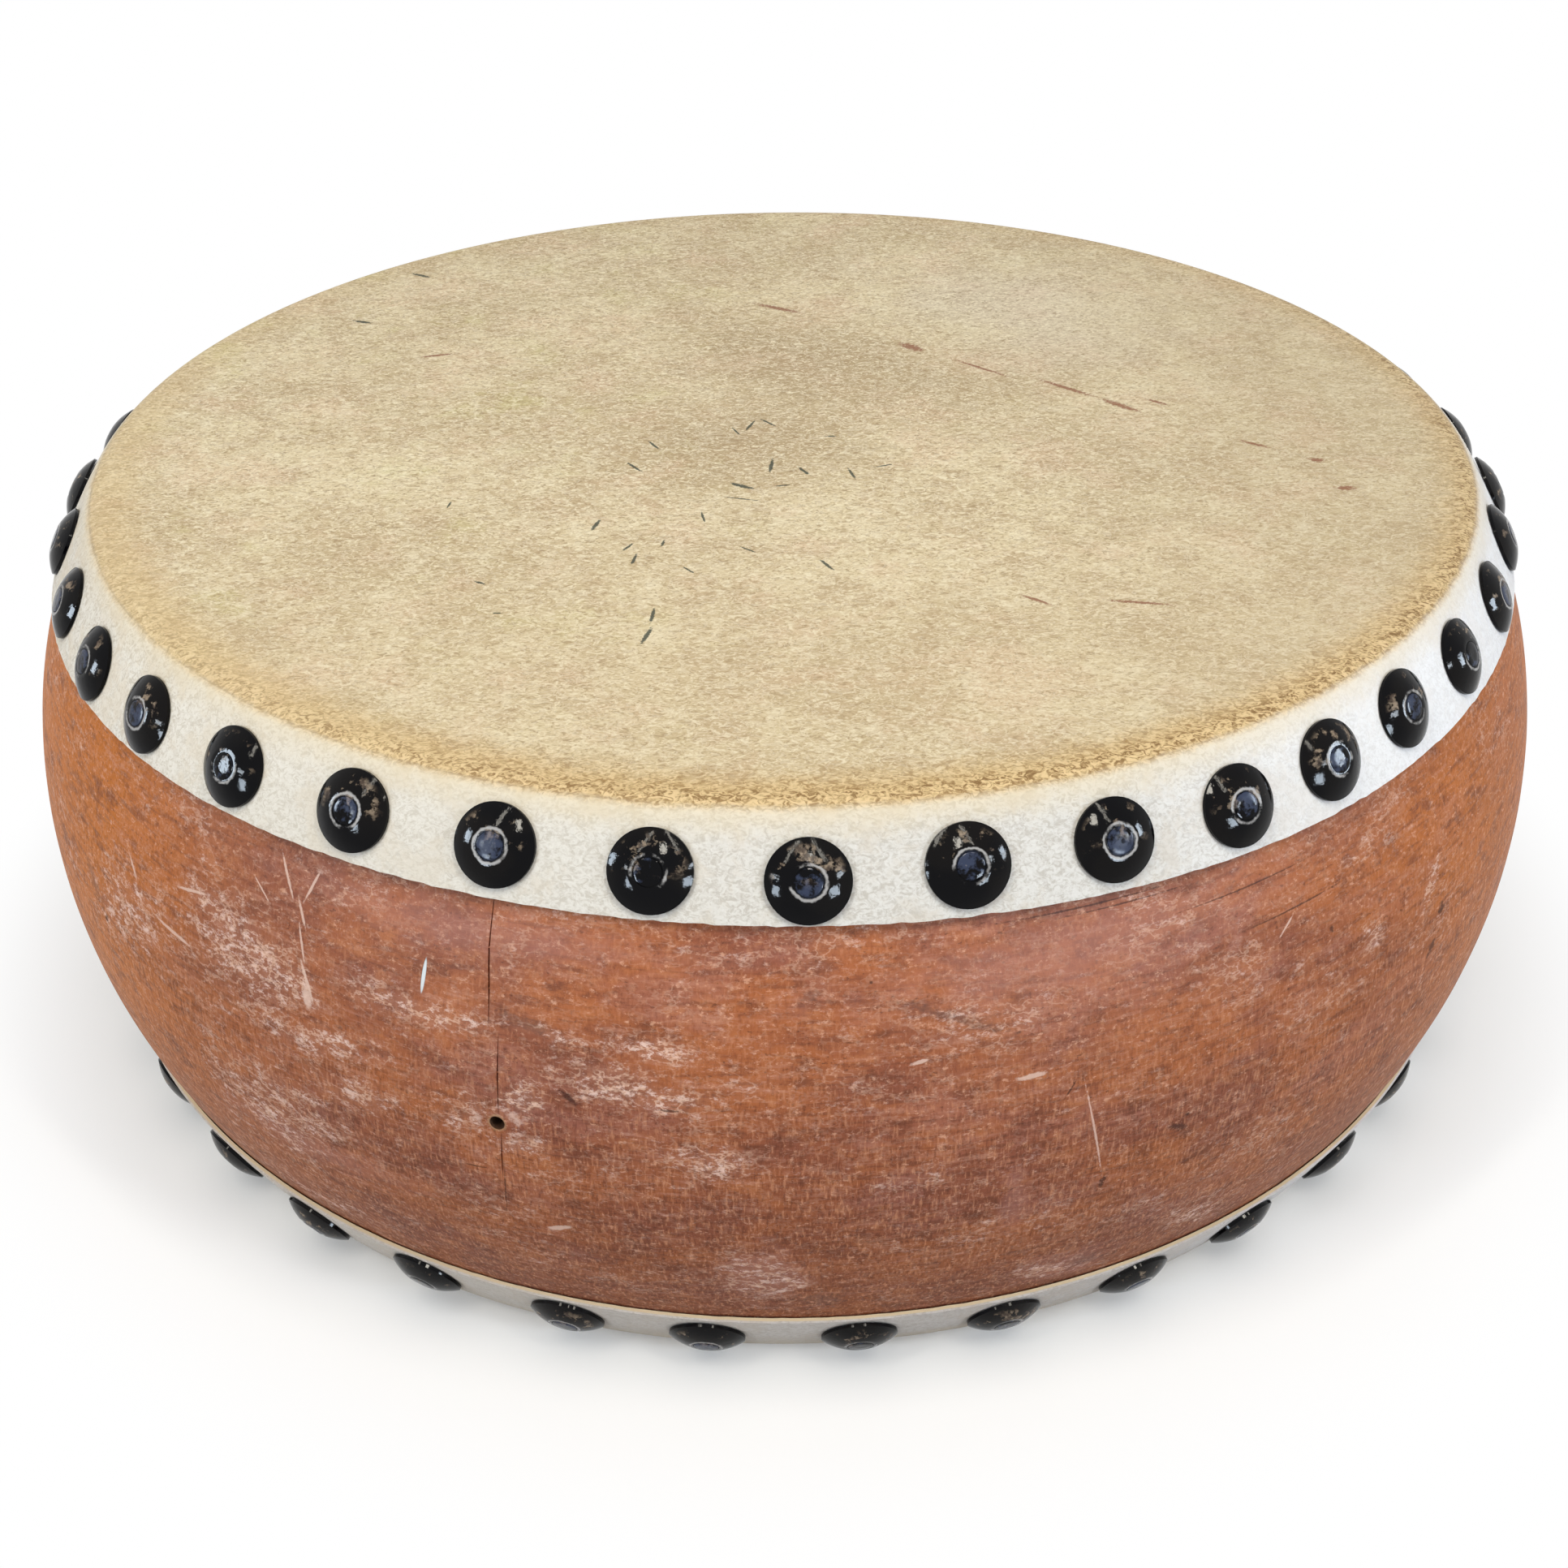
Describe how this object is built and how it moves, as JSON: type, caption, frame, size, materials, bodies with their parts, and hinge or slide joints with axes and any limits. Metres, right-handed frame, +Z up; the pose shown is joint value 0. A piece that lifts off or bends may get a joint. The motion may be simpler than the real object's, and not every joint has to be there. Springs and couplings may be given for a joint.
{
  "type": "drum",
  "caption": "Shallow double-headed barrel drum: hollowed wooden shell with a rawhide head stretched over each end and nailed down with a row of domed black studs.",
  "frame": {"origin": "centre of the lower head's flat face, where the drum rests", "axes": "+Z up along the drum's axis, -Y towards the front, where the drilled hole lies 17.9 degrees round towards -X"},
  "size_m": [0.43, 0.43, 0.164],
  "materials": {
    "shell_wood": "worn, hand rubbed, reddish brown",
    "hide": "rawhide, dry and mottled",
    "stud_paint": "gloss black, chipped",
    "nail_steel": "black, hammered"
  },
  "bodies": {
    "root": {"shell": "shell_wood", "upper_head": "hide", "lower_head": "hide", "upper_stud_caps": "stud_paint", "upper_stud_nails": "nail_steel", "lower_stud_caps": "stud_paint", "lower_stud_nails": "nail_steel"}
  },
  "joints": []
}
